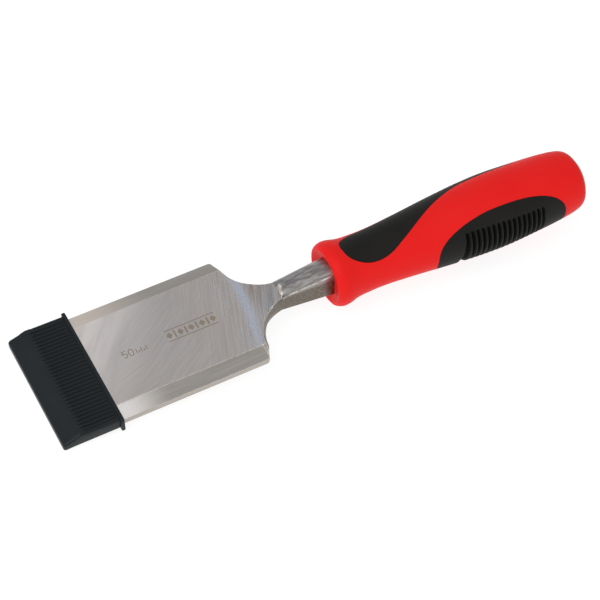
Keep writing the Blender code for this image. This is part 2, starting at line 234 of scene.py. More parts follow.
def loft(name, rings, looks, sharp=35.0, choose=None):
    """Closed body through rings of equal length, capped at both ends, with a material per face."""
    mesh = bpy.data.meshes.new(name)
    bm = bmesh.new()
    loops = [[bm.verts.new(Vector(p) * MM) for p in ring] for ring in rings]
    for one, two in zip(loops, loops[1:]):
        count = len(one)
        for i in range(count):
            j = (i + 1) % count
            bm.faces.new((one[i], one[j], two[j], two[i]))
    bm.faces.new(loops[0][::-1])
    bm.faces.new(loops[-1])
    bmesh.ops.recalc_face_normals(bm, faces=bm.faces)
    if choose:
        for face in bm.faces:
            face.material_index = choose(face.calc_center_median() / MM, face.normal)
    bm.to_mesh(mesh)
    bm.free()
    for look in looks:
        mesh.materials.append(look)
    mesh.shade_smooth()
    mesh.set_sharp_from_angle(angle=math.radians(sharp))
    return add_object(name, mesh)


def circle(x, radius, segments):
    turn = 2.0 * math.pi / segments
    ring = []
    for i in range(segments):
        ring.append((x, radius * math.cos(i * turn), axis_z(x) + radius * math.sin(i * turn)))
    return ring


def bake(target):
    """Apply the object's modifiers to its mesh."""
    bpy.context.view_layer.update()
    graph = bpy.context.evaluated_depsgraph_get()
    result = bpy.data.meshes.new_from_object(target.evaluated_get(graph))
    old = target.data
    target.modifiers.clear()
    target.data = result
    bpy.data.meshes.remove(old)


def cut(target, cutter):
    """Take the cutter out of the target."""
    step = target.modifiers.new("cut", "BOOLEAN")
    step.operation = "DIFFERENCE"
    step.solver = "EXACT"
    step.object = cutter
    bake(target)
    bpy.data.objects.remove(cutter, do_unlink=True)


def round_edges(target, width, angle, sharp, material):
    """Small rounded edges, in the given material, where faces meet at more than the angle."""
    step = target.modifiers.new("round", "BEVEL")
    step.width = width * MM
    step.material = material
    step.segments = 2
    step.limit_method = "ANGLE"
    step.angle_limit = math.radians(angle)
    step.harden_normals = False
    bake(target)
    target.data.shade_smooth()
    target.data.set_sharp_from_angle(angle=math.radians(sharp))


# ------------------------------------------------------------------ materials

FACE_COLOR = (0.49, 0.424, 0.365)
# painted highlight colour, used towards the tip
FACE_HIGHLIGHT = (0.90, 0.795, 0.70)
FACE_CLOUD = (0.46, 0.405, 0.35)
FACE_NECK = (0.34, 0.285, 0.225)
# scratch colour, also used for the painted highlight line along the bevel crease
SCRATCH_AND_HIGHLIGHT = (0.76, 0.69, 0.62)
BEVEL_COLOR = (0.41, 0.385, 0.36)
# painted highlight colour of the bevel next to the guard
BEVEL_HIGHLIGHT = (1.0, 0.96, 0.93)
SIDE_COLOR = (0.34, 0.31, 0.27)
SIDE_SCRATCH = (0.52, 0.49, 0.45)
# painted highlight colour of rounded edges, ridge and step
EDGE_HIGHLIGHT = (0.88, 0.86, 0.84)
FORGED_SIDE = (0.13, 0.11, 0.088)
FORGED_TOP = (0.44, 0.43, 0.42)
FORGED_DARK = (0.21, 0.20, 0.20)
FORGED_SPECK = (0.34, 0.315, 0.28)


class Look:
    """A Principled material and short calls to wire its procedural nodes."""

    def __init__(self, name, color, roughness, metallic=0.0, specular=0.5):
        self.material = bpy.data.materials.new(name)
        self.material.use_nodes = True
        self.nodes = self.material.node_tree.nodes
        self.links = self.material.node_tree.links
        self.shader = self.nodes["Principled BSDF"]
        self.shader.inputs["Base Color"].default_value = (*color, 1.0)
        self.shader.inputs["Roughness"].default_value = roughness
        self.shader.inputs["Metallic"].default_value = metallic
        self.shader.inputs["Specular IOR Level"].default_value = specular
        self.bump_from = None
        self.tool = None

    def add(self, kind, **values):
        node = self.nodes.new(kind)
        for key, value in values.items():
            setattr(node, key, value)
        return node

    def coords(self, scale=(1.0, 1.0, 1.0), turn=0.0):
        """Tool coordinates in millimetres, turned about Z by degrees and then scaled."""
        if self.tool is None:
            where = self.add("ShaderNodeTexCoord")
            back = PLACE.inverted()
            node = self.add("ShaderNodeMapping")
            node.inputs["Location"].default_value = back.translation / MM
            node.inputs["Rotation"].default_value = back.to_euler()
            node.inputs["Scale"].default_value = (1.0 / MM, 1.0 / MM, 1.0 / MM)
            self.links.new(where.outputs["Object"], node.inputs["Vector"])
            self.tool = node.outputs["Vector"]
        turned = self.add("ShaderNodeMapping")
        turned.inputs["Rotation"].default_value = (0.0, 0.0, math.radians(-turn))
        self.links.new(self.tool, turned.inputs["Vector"])
        scaled = self.add("ShaderNodeMapping")
        scaled.inputs["Scale"].default_value = scale
        self.links.new(turned.outputs["Vector"], scaled.inputs["Vector"])
        return scaled.outputs["Vector"]

    def noise(self, vector, scale=1.0, detail=3.0, rough=0.5):
        node = self.add("ShaderNodeTexNoise")
        node.inputs["Scale"].default_value = scale
        node.inputs["Detail"].default_value = detail
        node.inputs["Roughness"].default_value = rough
        self.links.new(vector, node.inputs["Vector"])
        return node.outputs["Fac"]

    def part(self, vector, axis):
        node = self.add("ShaderNodeSeparateXYZ")
        self.links.new(vector, node.inputs["Vector"])
        return node.outputs[axis]

    def span(self, value, low, high, out_low=0.0, out_high=1.0):
        """Smooth step from out_low to out_high as the value goes from low to high."""
        node = self.add("ShaderNodeMapRange", interpolation_type="SMOOTHSTEP")
        node.inputs["From Min"].default_value = low
        node.inputs["From Max"].default_value = high
        node.inputs["To Min"].default_value = out_low
        node.inputs["To Max"].default_value = out_high
        self.links.new(value, node.inputs["Value"])
        return node.outputs["Result"]

    def math(self, operation, a, b):
        node = self.add("ShaderNodeMath", operation=operation)
        for socket, value in zip(node.inputs, (a, b)):
            if isinstance(value, (int, float)):
                socket.default_value = value
            else:
                self.links.new(value, socket)
        return node.outputs[0]

    def mix(self, factor, a, b):
        """Mix of two colours, each a tuple or a socket."""
        node = self.add("ShaderNodeMix", data_type="RGBA")
        self.links.new(factor, node.inputs[0])
        for socket, value in ((node.inputs[6], a), (node.inputs[7], b)):
            if isinstance(value, tuple):
                socket.default_value = (*value, 1.0)
            else:
                self.links.new(value, socket)
        return node.outputs[2]

    def paint(self, socket):
        self.links.new(socket, self.shader.inputs["Base Color"])

    def gloss(self, socket):
        self.links.new(socket, self.shader.inputs["Roughness"])

    def bump(self, height, strength, distance_mm):
        node = self.add("ShaderNodeBump")
        node.inputs["Strength"].default_value = strength
        node.inputs["Distance"].default_value = distance_mm * MM
        self.links.new(height, node.inputs["Height"])
        if self.bump_from:
            self.links.new(self.bump_from, node.inputs["Normal"])
        self.bump_from = node.outputs["Normal"]
        self.links.new(self.bump_from, self.shader.inputs["Normal"])


def steel_forged():
    """Unground neck and bolster: darker, browner and grainy on the sides, streaked on top."""
    look = Look("steel_forged", FORGED_TOP, 0.42, metallic=1.0)
    z = look.part(look.coords(), 2)
    grain = look.noise(look.coords((1.5, 1.5, 1.5)), detail=5.0, rough=0.75)
    streak = look.noise(look.coords((0.16, 0.9, 0.9)), detail=4.0, rough=0.6)
    top = look.mix(look.span(streak, 0.36, 0.64), FORGED_DARK, FORGED_TOP)
    base = look.mix(look.span(z, 3.6, 6.2), FORGED_SIDE, top)
    look.paint(look.mix(look.span(grain, 0.42, 0.66, 0.0, 0.6), base, FORGED_SPECK))
    look.gloss(look.span(grain, 0.3, 0.7, 0.3, 0.5))
    look.bump(grain, 0.5, 0.06)
    return look.material


def steel_face():
    """Ground upper face with a painted highlight towards the tip; its scratches swing from
    lengthwise at the tip to crosswise further up.
    """
    look = Look("steel_face", FACE_COLOR, 0.32, metallic=1.0)
    plain = look.coords()
    x = look.part(plain, 0)
    y = look.part(plain, 1)
    tip = look.noise(look.coords((0.05, 2.6, 1.0), 18.0), detail=4.0, rough=0.6)
    middle = look.noise(look.coords((0.06, 2.4, 1.0), 34.0), detail=4.0, rough=0.6)
    neck = look.noise(look.coords((0.05, 2.0, 1.0), 70.0), detail=4.0, rough=0.6)
    first = look.mix(look.span(x, 26.0, 50.0), tip, middle)
    brushed = look.mix(look.span(x, 50.0, 74.0), first, neck)
    cloud = look.noise(look.coords((0.02, 0.16, 0.05), 52.0), detail=3.0)
    # painted highlight: lighter towards the tip, a little less on the near side
    painted_highlight = look.span(look.math("SUBTRACT", x, look.math("MULTIPLY", y, 0.6)), 48.0, 14.0)
    highlight_share = look.math("MULTIPLY", painted_highlight, look.span(y, -18.0, -2.0, 0.75, 1.0))
    base = look.mix(highlight_share, FACE_COLOR, FACE_HIGHLIGHT)
    clouded = look.mix(look.span(cloud, 0.4, 0.75, 0.0, 0.5), base, FACE_CLOUD)
    ramped = look.mix(look.span(x, 83.0, 88.0), clouded, FACE_NECK)
    look.paint(look.mix(look.span(brushed, 0.35, 0.7, 0.0, 0.42), ramped, SCRATCH_AND_HIGHLIGHT))
    lapped = look.span(x, 70.0, 79.0, 0.0, 0.1)
    look.gloss(look.math("SUBTRACT", look.span(brushed, 0.3, 0.7, 0.28, 0.38), lapped))
    look.bump(brushed, 0.1, 0.01)
    return look.material


def steel_bevel():
    """Side bevels, brushed lengthwise, with a painted highlight next to the guard, strongest on the
    near side, and a painted highlight line along the crease.
    """
    look = Look("steel_bevel", FACE_COLOR, 0.3, metallic=1.0)
    plain = look.coords()
    x = look.part(plain, 0)
    y = look.part(plain, 1)
    brushed = look.noise(look.coords((0.04, 2.4, 2.4)), detail=4.0, rough=0.6)
    crossed = look.noise(look.coords((0.05, 2.4, 1.0), 30.0), detail=3.0, rough=0.6)
    # painted highlight next to the guard on the near side
    near = look.span(y, 0.0, -10.0)
    painted_highlight = look.math("MULTIPLY", look.span(x, 42.0, 22.0), near)
    base = look.mix(painted_highlight, BEVEL_COLOR, BEVEL_HIGHLIGHT)
    # painted highlight towards the tip on the far side, in the face's highlight colour
    far = look.math("MULTIPLY", look.span(x, 56.0, 22.0, 0.0, 0.8), look.span(y, 0.0, 10.0))
    tip_highlit = look.mix(far, base, FACE_HIGHLIGHT)
    # painted highlight line along the crease, broken up by the cross scratches
    crease = look.span(look.math("ABSOLUTE", y, 0.0), BEVEL_Y + 0.6, BEVEL_Y + 0.3)
    line = look.math("MULTIPLY", crease, look.span(crossed, 0.3, 0.55))
    crease_highlit = look.mix(look.math("MULTIPLY", line, 0.8), tip_highlit, SCRATCH_AND_HIGHLIGHT)
    lined = look.mix(look.span(brushed, 0.4, 0.75, 0.0, 0.25), crease_highlit, SCRATCH_AND_HIGHLIGHT)
    look.paint(look.mix(look.span(crossed, 0.5, 0.8, 0.0, 0.2), lined, FACE_CLOUD))
    look.gloss(look.span(brushed, 0.3, 0.7, 0.28, 0.38))
    look.bump(brushed, 0.15, 0.012)
    return look.material


def steel_side():
    """Square sides and flat back, ground lengthwise."""
    look = Look("steel_side", SIDE_COLOR, 0.34, metallic=1.0)
    brushed = look.noise(look.coords((0.06, 1.5, 3.0)), detail=4.0, rough=0.6)
    look.paint(look.mix(brushed, SIDE_COLOR, SIDE_SCRATCH))
    look.gloss(look.span(brushed, 0.3, 0.7, 0.28, 0.42))
    look.bump(brushed, 0.2, 0.015)
    return look.material


def steel_painted_sheen():
    """Rounded edges and the strips along ridge, step and crease, with a painted highlight, patchy
    between the face colour and near white.
    """
    look = Look("steel_painted_sheen", EDGE_HIGHLIGHT, 0.28, metallic=1.0)
    sheen_mask = look.noise(look.coords((0.5, 0.5, 0.5)), detail=4.0)
    look.paint(look.mix(look.span(sheen_mask, 0.3, 0.7), FACE_COLOR, EDGE_HIGHLIGHT))
    look.gloss(look.span(sheen_mask, 0.3, 0.7, 0.24, 0.36))
    return look.material


def etched():
    """Chemically etched mark: matt and brown-grey."""
    look = Look("etched_mark", (0.32, 0.26, 0.19), 0.6, metallic=0.6)
    speck = look.noise(look.coords((3.0, 3.0, 3.0)), detail=4.0)
    look.paint(look.mix(speck, (0.24, 0.195, 0.145), (0.38, 0.31, 0.235)))
    look.bump(speck, 0.3, 0.01)
    return look.material


def red_plastic():
    look = Look("red_plastic", (0.79, 0.013, 0.012), 0.46, specular=0.08)
    cloud = look.noise(look.coords((0.05, 0.05, 0.05)), detail=2.0)
    peel = look.noise(look.coords((2.2, 2.2, 2.2)), detail=3.0)
    look.paint(look.mix(cloud, (0.765, 0.012, 0.011), (0.815, 0.017, 0.015)))
    look.gloss(look.span(peel, 0.3, 0.7, 0.42, 0.52))
    look.bump(peel, 0.12, 0.02)
    return look.material


def soft_rubber():
    look = Look("soft_grip", (0.008, 0.008, 0.0075), 0.6, specular=0.15)
    fine = look.noise(look.coords((5.0, 5.0, 5.0)), detail=4.0, rough=0.6)
    cloud = look.noise(look.coords((0.12, 0.12, 0.12)), detail=2.0)
    look.paint(look.mix(cloud, (0.0075, 0.0072, 0.0065), (0.0125, 0.0115, 0.0105)))
    look.gloss(look.span(fine, 0.3, 0.7, 0.52, 0.68))
    look.bump(fine, 0.35, 0.03)
    return look.material


def groove_shade_rubber():
    """Bottom and walls of the grip grooves: dull, and painted darker as shade in the grooves."""
    look = Look("soft_grip_groove_shade", (0.003, 0.003, 0.003), 0.8, specular=0.08)
    fine = look.noise(look.coords((5.0, 5.0, 5.0)), detail=4.0, rough=0.6)
    look.paint(look.mix(fine, (0.0025, 0.0025, 0.0025), (0.0045, 0.0045, 0.0045)))
    look.bump(fine, 0.3, 0.03)
    return look.material


def guard_groove_shade():
    """Hollows between the guard's ribs, painted darker as shade."""
    look = Look("guard_groove_shade", (0.005, 0.007, 0.008), 0.6, specular=0.17)
    fine = look.noise(look.coords((3.0, 3.0, 3.0)), detail=4.0)
    look.paint(look.mix(fine, (0.004, 0.006, 0.007), (0.007, 0.009, 0.010)))
    look.bump(fine, 0.25, 0.02)
    return look.material


def guard_plastic():
    look = Look("guard_plastic", (0.006, 0.009, 0.012), 0.45, specular=0.22)
    cloud = look.noise(look.coords((0.09, 0.09, 0.09)), detail=3.0)
    fine = look.noise(look.coords((3.0, 3.0, 3.0)), detail=4.0)
    look.paint(look.mix(cloud, (0.006, 0.0095, 0.012), (0.011, 0.015, 0.018)))
    look.gloss(look.span(fine, 0.3, 0.7, 0.38, 0.52))
    look.bump(fine, 0.25, 0.02)
    return look.material


def cap_steel():
    look = Look("cap_steel", (0.50, 0.47, 0.38), 0.3, metallic=1.0)
    grain = look.noise(look.coords((1.2, 1.2, 1.2)), detail=4.0)
    look.paint(look.mix(grain, (0.44, 0.42, 0.34), (0.58, 0.55, 0.45)))
    look.gloss(look.span(grain, 0.3, 0.7, 0.24, 0.38))
    look.bump(grain, 0.2, 0.02)
    return look.material


# ------------------------------------------------------------------ blade

# order of the blade's materials
FACE, BEVEL, SIDE, PAINTED_SHEEN, FORGED = range(5)
# the step at the neck and the ridge along the bolster's near side, which take a painted highlight,
# and where the ground back ends
STEP_LEN = 1.6
RIDGE_SHARE = 0.935
UNDER_X = 84.0


def half_width(x, plan):
    """Half width of the forging at x: parallel blade, shoulder, concave arc, then the bolster."""
    corner, line, line_y, arc, middle_x, middle_y, radius = plan
    if x <= corner:
        return BLADE_HALF
    if x < line:
        share = (x - corner) / (line - corner)
        return line_y + (BLADE_HALF - line_y) * math.sqrt(1.0 - share * share)
    if x <= arc:
        arc_y = middle_y - math.sqrt(radius ** 2 - (middle_x - arc) ** 2)
        return line_y + (arc_y - line_y) * (x - line) / (arc - line)
    if x <= middle_x:
        return middle_y - math.sqrt(radius ** 2 - (middle_x - x) ** 2)
    neck = middle_y - radius
    return neck + (BOLSTER_HALF - neck) * (x - middle_x) / (BOLSTER_X - middle_x)


def sweep_z(x, y):
    """Height of the ground face: flat, a short curve, a straight ramp, then a step to the neck.

    The curve starts sooner on the near side, as hand grinding left it.
    """
    along = x - (SWEEP_LEAN * y - SWEEP_BOW * y * y) * ease(SKEW_X1, SKEW_X0, x)
    curve = min(max(along - SWEEP_X, 0.0), RAMP_X - SWEEP_X)
    ramp = min(max(along - RAMP_X, 0.0), CREASE_X - RAMP_X)
    rise = RAMP_SLOPE * (0.5 * curve * curve / (RAMP_X - SWEEP_X) + ramp)
    return BLADE_T + rise + STEP_SLOPE * max(x - CREASE_X, 0.0)


def neck_rise(x, y):
    """Height of the rounded neck above its axis at (x, y); it widens towards the blade."""
    at = max(x, CREASE_X)
    radius = CREASE_R + (BOLSTER_R - CREASE_R) * (at - CREASE_X) / (BOLSTER_X - CREASE_X)
    across = abs(y)
    if x < CREASE_X:
        across *= NECK_HALF / half_width(x, PLAN_WAIST)
    ridge = min(across, NECK_ROUND * radius)
    return math.sqrt(radius ** 2 - ridge ** 2) - NECK_FALL * (across - ridge)


def top_z(x, y):
    """Height of the forging's upper side: ground edge, bevelled blade, sweep and neck."""
    fall = (BLADE_T - SIDE_T) * max(abs(y) - BEVEL_Y, 0.0) / BEVEL_W
    grind = EDGE_T + x * (BLADE_T - EDGE_T) / GRIND_LEN
    if x < GRIND_LEN:
        return min(BLADE_T - fall, grind)
    if x < PLAN_EDGE[0] - 3.0:
        return BLADE_T - fall
    return min(sweep_z(x, y), AXIS_Z + neck_rise(x, y)) - fall


def low_z(x, y):
    """Height of the forging's lower side: flat under the blade, round under the neck."""
    blend = ease(SWEEP_X, CREASE_X, x)
    drop = AXIS_Z - neck_rise(x, y)
    if x < CREASE_X:
        drop = min(drop, 0.0)
    return blend * drop


def forging_ring(x, grow=0.0):
    """One cross-section of the forging: back, far side, top, near side; the waist stands proud."""
    edge = half_width(x, PLAN_EDGE)
    waist = max(half_width(x, PLAN_WAIST), edge)
    steps = FORGING_STEPS
    inner = min(BEVEL_Y, TOP_SHARE * edge)
    middle = BAND_Z + (AXIS_Z - BAND_Z) * ease(PLAN_EDGE[0], BAND_X, x)
    band = BAND_HALF
    if x < GRIND_LEN:
        middle = min(middle, 0.5 * top_z(x, edge))
        band = min(band, 0.5 * middle)
    ring = []
    for i in range(steps + 1):
        y = edge * (2.0 * i / steps - 1.0)
        ring.append((x, y * (edge + grow) / edge, low_z(x, y) - grow))
    ring.append((x, waist + grow, middle - band))
    ring.append((x, waist + grow, middle + band))
    over = [edge]
    for i in range(steps + 1):
        over.append(inner * (1.0 - 2.0 * i / steps))
    over.append(-edge)
    for y in over:
        ring.append((x, y * (edge + grow) / edge, top_z(x, y) + grow))
    ring.append((x, -waist - grow, middle + band))
    ring.append((x, -waist - grow, middle - band))
    return ring


def neck_part(centre, normal):
    """Material of a face of the shoulder, neck or bolster; their near edges take a painted
    highlight.
    """
    x, y, z = centre
    if x > CREASE_X:
        step = x < CREASE_X + STEP_LEN and normal.x < -0.4 and y < 1.0
        ridge = y < -RIDGE_SHARE * half_width(x, PLAN_EDGE) and normal.z > 0.2
        return PAINTED_SHEEN if step or ridge else FORGED
    if normal.z < -0.5 and x < UNDER_X:
        return SIDE
    under = sweep_z(x, y) - z
    if under <= 0.06 and normal.z >= 0.3:
        return FACE
    # a strip beside the crease on the near side takes the painted highlight
    sheen_mask = under < 0.45 and x > BAND_X and y < 0.0 and normal.z > 0.3
    return PAINTED_SHEEN if sheen_mask else FORGED


def blade_part(centre, normal):
    """Material of a face of the blade's forging."""
    x, y, z = centre
    if x > PLAN_EDGE[0] and abs(y) < BEVEL_Y:
        return neck_part(centre, normal)
    if normal.z < 0.5:
        return SIDE
    if abs(y) > BEVEL_Y + 0.05 and x > GRIND_LEN:
        return BEVEL
    return FACE


def build_blade():
    """The forging, with its sections closest together round the shoulder."""
    xs = [0.0, 2.0, 4.0, GRIND_LEN * 0.63, GRIND_LEN]
    xs.extend(14.0 + 7.9 * k for k in range(8))
    x = PLAN_EDGE[0]
    while x < CREASE_X + 3.0:
        xs.append(x)
        x += 0.09 if x < 82.0 else 0.3
    while x < SOCKET_X - 0.5:
        xs.append(x)
        x += 1.2
    xs.append(SOCKET_X)
    rings = [forging_ring(x) for x in xs]
    looks = [steel_face(), steel_bevel(), steel_side(), steel_painted_sheen(), steel_forged()]
    blade = loft("blade_steel", rings, looks, sharp=10.0, choose=blade_part)
    # the rounded edges take the painted highlight
    round_edges(blade, 0.16, angle=38.0, sharp=12.0, material=PAINTED_SHEEN)
    return blade


MARK_SUNK = 0.004
MARK_PROUD = 0.012


def flat_mark(name, outlines, look):
    """Thin etched film on the upper face; each outline is a list of (x, y) in tool millimetres."""
    mesh = bpy.data.meshes.new(name)
    bm = bmesh.new()
    low = BLADE_T - MARK_SUNK
    high = BLADE_T + MARK_PROUD
    for outline in outlines:
        loops = [[bm.verts.new(Vector((x, y, z)) * MM) for x, y in outline] for z in (low, high)]
        count = len(outline)
        for i in range(count):
            j = (i + 1) % count
            bm.faces.new((loops[0][i], loops[0][j], loops[1][j], loops[1][i]))
        bm.faces.new(loops[0][::-1])
        bm.faces.new(loops[1])
    bmesh.ops.recalc_face_normals(bm, faces=bm.faces)
    bm.to_mesh(mesh)
    bm.free()
    mesh.materials.append(look)
    return add_object(name, mesh)


def stroke(points, width):
    """Outline of a line of constant width through the points, square at both ends."""
    left = []
    right = []
    for i, point in enumerate(points):
        here = Vector(point)
        before = Vector(points[max(i - 1, 0)])
        after = Vector(points[min(i + 1, len(points) - 1)])
        along = (after - before).normalized()
        across = Vector((-along.y, along.x)) * (0.5 * width)
        left.append(tuple(here + across))
        right.append(tuple(here - across))
    return left + right[::-1]


def build_size_mark(look):
    """The figure 50, the blade's width in millimetres, and five ticks, read from the near side."""
    height = 3.0
    wide = 1.75
    left = 31.9
    base = -1.9
    line = 0.36
    gap = 0.95
    bowl_r = 0.31 * height
    five = [
        [(wide, height), (0.12 * wide, height)],
        [(0.2 * wide, height), (0.12 * wide, 0.54 * height)],
    ]
    bowl = []
    for k in range(17):
        a = math.radians(150.0 - 285.0 * k / 16.0)
        bowl.append((0.5 * wide + 0.5 * wide * math.cos(a), bowl_r + bowl_r * math.sin(a)))
    five.append(bowl)
    ring = []
    for k in range(33):
        a = 2.0 * math.pi * k / 32.0
        ring.append((0.5 * wide * (1.0 + math.cos(a)), 0.5 * height * (1.0 + math.sin(a))))
    outlines = []
    for points in five:
        outlines.append(stroke([(left + x, base + y) for x, y in points], line))
    shift = left + wide + 0.75
    for half in (ring[:17], ring[16:]):
        outlines.append(stroke([(shift + x, base + y) for x, y in half], line))
    tick = shift + wide + 1.2
    for k in range(5):
        top = base + (0.72 * height if k % 2 == 0 else 0.4 * height)
        outlines.append(stroke([(tick + gap * k, base), (tick + gap * k, top)], line))
    return flat_mark("size_mark", outlines, look)


def build_plain_mark(look):
    """A plain generic mark in place of the maker's: diamonds and bars between two thin rules."""
    outlines = []
    left = 49.5
    right = 69.5
    margin = 1.3
    count = 9
    for y in (-2.5, 2.5):
        outlines.append(stroke([(left, y), (right, y)], 0.4))
    for k in range(count):
        x = left + margin + (right - left - 2.0 * margin) * k / (count - 1)
        if k % 2:
            outlines.append(stroke([(x, -1.6), (x, 1.6)], 0.7))
        else:
            outlines.append([(x - 1.25, 0.0), (x, -1.5), (x + 1.25, 0.0), (x, 1.5)])
    return flat_mark("plain_mark", outlines, look)


# ------------------------------------------------------------------ handle, grips and cap

def near_limits(x):
    """Upper and lower outline angle of the near grip at x; its widest place is nearer the front."""
    if x < NEAR_WIDE_X:
        away = (NEAR_WIDE_X - x) / (NEAR_WIDE_X - NEAR_X0)
        shape = NEAR_FRONT
    else:
        away = (x - NEAR_WIDE_X) / (NEAR_X1 - NEAR_WIDE_X)
        shape = NEAR_BACK
    span = NEAR_SPAN * (1.0 - min(away, 1.0) ** shape[0]) ** (1.0 / shape[1])
    return NEAR_MID + span, NEAR_MID - span


def sweep_limits(x):
    """The two outline angles of the grip that starts on top and runs over to the far side."""
    return smooth(SWEEP_LOWER, x), smooth(SWEEP_UPPER, x)


def grip_stations(x0, x1, fine):
    """X stations, close together at both ends; fine ones follow the rib grooves."""
    places = set()
    span = x1 - x0
    count = 60
    for i in range(count + 1):
        places.add(round(x0 + span * 0.5 * (1.0 - math.cos(math.pi * i / count)), 3))
    x = STEEP_X
    while x < min(RIB_X0, x1):
        if x > x0 + 0.4:
            places.add(round(x, 3))
        x += STEEP_STEP
    if fine:
        x = RIB_X0 - 2.2
        while x < RIB_X0 + (RIB_COUNT + 0.3) * RIB_PITCH:
            places.add(round(x, 3))
            x += RIB_PITCH / 11.0
    ordered = sorted(places)
    kept = [ordered[0]]
    for x in ordered[1:]:
        if x - kept[-1] > 0.05:
            kept.append(x)
    kept[-1] = ordered[-1]
    return kept


def rib_top(x):
    """How far up the grooves reach at x, in degrees from the grip's middle: most at the front."""
    along = (x - RIB_X0) / (RIB_COUNT * RIB_PITCH)
    return RIB_UP + RIB_LEAN * (1.0 - min(max(along, 0.0), 1.0))


def groove_depth(x, angle, middle):
    """Depth of the rib grooves: rounded lands, deep valleys that run out at both ends."""
    up = angle - middle if middle < 90.0 else middle - angle
    top = rib_top(x)
    ends = ease(top, top - 9.0, up) * ease(RIB_DOWN, RIB_DOWN - 6.0, -up)
    first = RIB_X0 - RIB_RUN_IN * ease(top - 4.0, -20.0, up)
    if x < first or ends <= 0.0:
        return 0.0
    last = RIB_X0 + RIB_COUNT * RIB_PITCH - RIB_T
    if x > last:
        return 0.0
    place = (x - RIB_X0) / RIB_PITCH
    if place < 0.0:
        begin = (x - first) / max(RIB_X0 + 0.5 * (RIB_PITCH - RIB_T) - first, 0.1)
        return RIB_DEPTH * ends * math.sin(0.5 * math.pi * min(begin, 1.0)) ** 0.8
    along = (place - math.floor(place)) * RIB_PITCH
    wide = RIB_PITCH - RIB_T * 0.75
    if along > wide:
        return 0.0
    shape = math.sin(math.pi * along / wide) ** 0.7
    if place < 0.5:
        begin = (x - first) / max(RIB_X0 + 0.5 * wide - first, 0.1)
        shape = math.sin(0.5 * math.pi * min(max(begin, 0.0), 1.0)) ** 0.8
    return RIB_DEPTH * ends * shape


def grip_ring(x, limits, middle, columns):
    """Closed strip section: outer face from low to high angle, then the inner face back."""
    high, low = limits
    outer = smooth(HANDLE, x)
    inner = outer - GRIP_DEPTH + GRIP_INSIDE
    ring = []
    for k in range(columns + 1):
        angle = low + (high - low) * k / columns
        a = math.radians(angle)
        radius = outer - groove_depth(x, angle, middle)
        ring.append((x, -radius * math.cos(a), axis_z(x) + radius * math.sin(a)))
    for k in range(9):
        a = math.radians(high + (low - high) * k / 8.0)
        ring.append((x, -inner * math.cos(a), axis_z(x) + inner * math.sin(a)))
    return ring


def grip_cutter_ring(x, at, limits, columns):
    """The same strip grown by the gap on every side and standing out past the handle."""
    high, low = limits
    outer = smooth(HANDLE, at)
    grow = math.degrees(GRIP_GAP / outer)
    inner = outer - GRIP_DEPTH
    proud = outer + CUTTER_OUT
    ring = []
    for k in range(columns + 1):
        a = math.radians(low - grow + (high - low + 2.0 * grow) * k / columns)
        ring.append((x, -proud * math.cos(a), axis_z(x) + proud * math.sin(a)))
    for k in range(columns + 1):
        a = math.radians(high + grow - (high - low + 2.0 * grow) * k / columns)
        ring.append((x, -inner * math.cos(a), axis_z(x) + inner * math.sin(a)))
    return ring


def build_grip(name, x0, x1, limits, middle, columns, looks):
    """Grip pad; faces well down in a groove take the second look, painted darker as shade."""
    rings = []
    for x in grip_stations(x0, x1, True):
        rings.append(grip_ring(x, limits(x), middle, columns))

    def in_groove(centre, _normal):
        rise = centre.z - axis_z(centre.x)
        radius = math.hypot(centre.y, rise)
        angle = math.degrees(math.atan2(rise, -centre.y)) % 360.0
        away = (angle - middle + 180.0) % 360.0 - 180.0
        away = -away if middle > 90.0 else away
        depth = smooth(HANDLE, centre.x) - radius
        deep = 0.45 * RIB_DEPTH < depth < 1.1 * RIB_DEPTH
        return 1 if deep and 3.0 - RIB_DOWN < away < rib_top(centre.x) - 5.0 else 0

    return loft(name, rings, looks, sharp=50.0, choose=in_groove)


def grip_cutter(name, x0, x1, limits, columns):
    """Body that cuts a grip's pocket into the handle."""
    stations = grip_stations(x0, x1, False)
    rings = [grip_cutter_ring(x0 - GRIP_GAP, x0, limits(x0), columns)]
    for x in stations[1:-1]:
        rings.append(grip_cutter_ring(x, x, limits(x), columns))
    rings.append(grip_cutter_ring(x1 + GRIP_GAP, x1, limits(x1), columns))
    return loft(name, rings, [])


def build_handle(look):
    """Turned handle with its tang hole, cap pocket and grip pockets cut out."""
    profile = list(LIP)
    x = HANDLE[0][0] + 0.6
    while x < HANDLE[-1][0]:
        profile.append((x, smooth(HANDLE, x)))
        x += HANDLE_STEP
    profile.append(HANDLE[-1])
    rim = (HANDLE[-1],) + BUTT
    for k in range(1, 13):
        x = rim[0][0] + (rim[-1][0] - rim[0][0]) * math.sin(k * math.pi / 24.0)
        profile.append((x, smooth(rim, x)))
    rings = [circle(x, radius, HANDLE_SEGMENTS) for x, radius in profile]
    handle = loft("handle_shell", rings, [look])
    hole = [forging_ring(x, grow=TANG_GAP) for x in (108.0, 112.5, BOLSTER_X, SOCKET_X + 0.2)]
    cut(handle, loft("tang_cutter", hole, []))
    mouth = CAP_X1 + 3.0
    pocket = [circle(x, CAP_R + CAP_GAP, CAP_SEGMENTS) for x in (CAP_X0 - CAP_GAP, mouth)]
    cut(handle, loft("cap_cutter", pocket, []))
    cut(handle, grip_cutter("near_cutter", NEAR_X0, NEAR_X1, near_limits, 40))
    ends = (SWEEP_UPPER[0][0], SWEEP_UPPER[-1][0])
    cut(handle, grip_cutter("sweep_cutter", ends[0], ends[1], sweep_limits, 48))
    handle.data.shade_smooth()
    handle.data.set_sharp_from_angle(angle=math.radians(38.0))
    return handle


